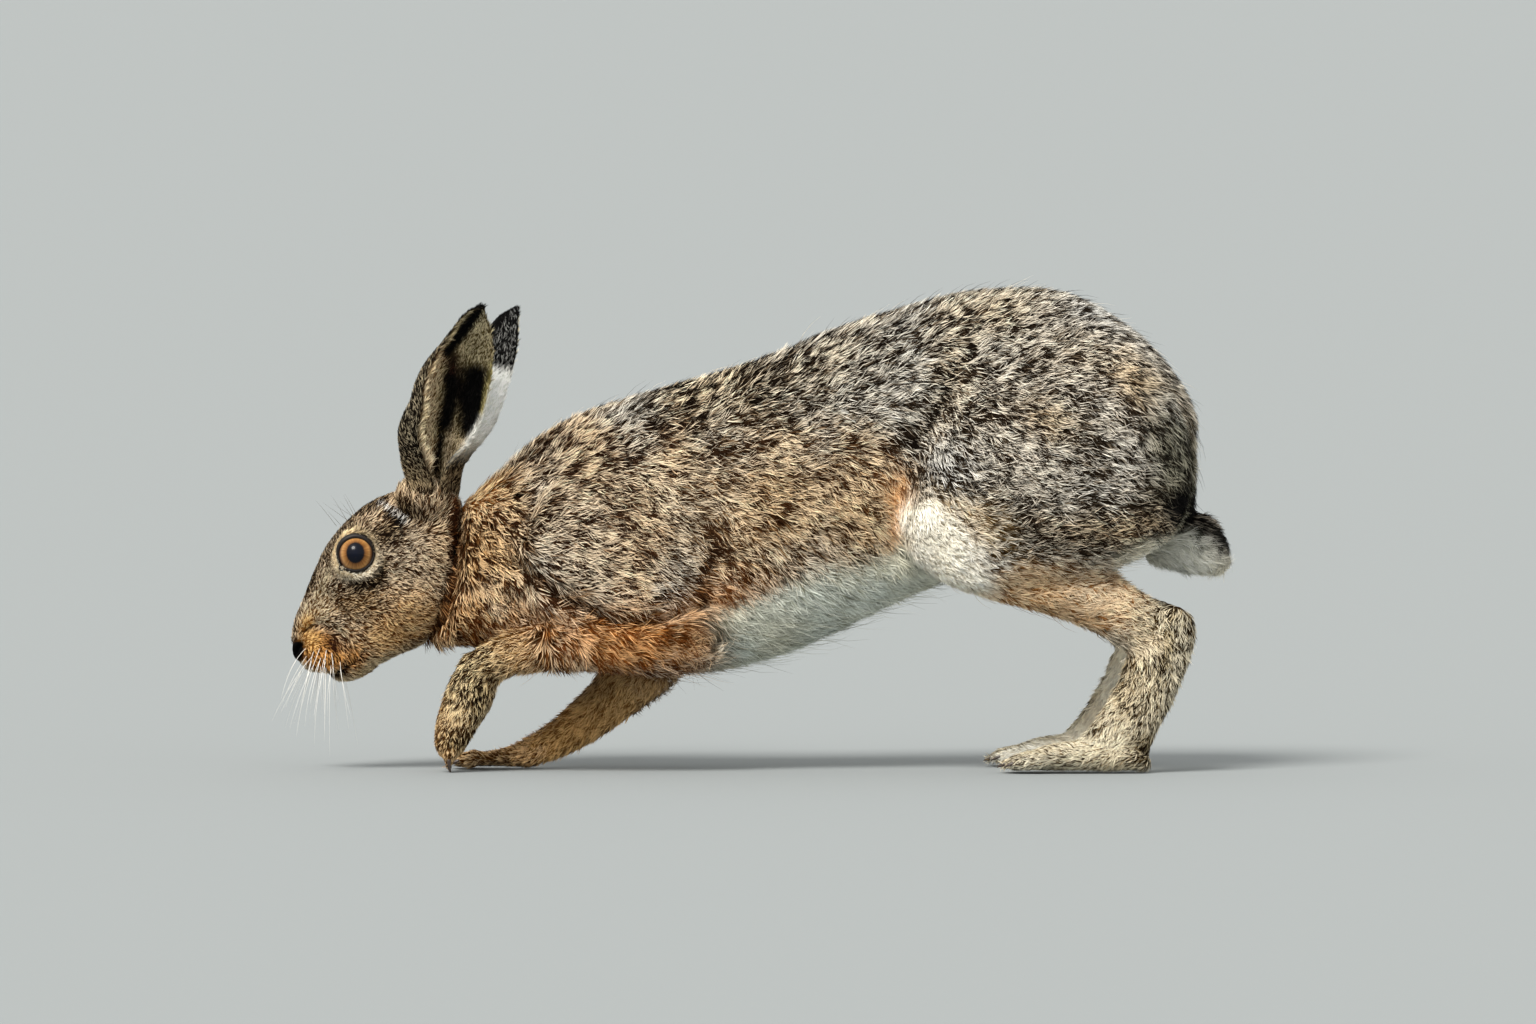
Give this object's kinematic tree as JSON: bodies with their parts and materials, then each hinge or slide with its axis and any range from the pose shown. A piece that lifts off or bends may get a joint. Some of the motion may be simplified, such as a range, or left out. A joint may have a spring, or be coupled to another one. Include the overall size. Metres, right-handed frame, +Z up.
{
  "type": "brown hare",
  "caption": "Life-size brown hare walking low with its head down and haunches high, ears up, one forepaw lifted.",
  "frame": {"origin": "middle of the footprint of the whole hare's box, on the floor under its paws", "axes": "-X is the way the hare faces, -Y is its left side, +Z is up"},
  "size_m": [0.497, 0.139, 0.2576],
  "materials": {
    "face_coat": "short grizzled grey-brown coat",
    "neck_coat": "soft rufous coat",
    "flank_coat": "dense buff and tan coat",
    "back_coat": "grizzled black, brown and cream coat",
    "thigh_coat": "greyer grizzled coat",
    "tail_coat": "black above, white below",
    "ear_coat": "short coat with black tips",
    "limb_coat": "short golden tan coat",
    "paw_coat": "coarse tan coat with dark horn claws",
    "eye": "wet amber iris with a dark pupil"
  },
  "bodies": {
    "root": {"ear_left": "ear_coat", "ear_right": "ear_coat", "eye_left": "eye", "eye_right": "eye", "head": "face_coat", "forepaw_left": "paw_coat", "foreleg_left_lower": "limb_coat", "foreleg_left_upper": "flank_coat", "forepaw_right": "paw_coat", "foreleg_right_lower": "limb_coat", "foreleg_right_upper": "flank_coat", "hindpaw_left": "paw_coat", "hindleg_left_foot": "limb_coat", "hindleg_left_shank": "limb_coat", "hindleg_left_thigh": "thigh_coat", "hindpaw_right": "paw_coat", "hindleg_right_foot": "limb_coat", "hindleg_right_shank": "limb_coat", "hindleg_right_thigh": "thigh_coat", "tail": "tail_coat", "neck": "neck_coat", "chest": "flank_coat", "loin": "back_coat", "rump": "back_coat"}
  },
  "joints": []
}
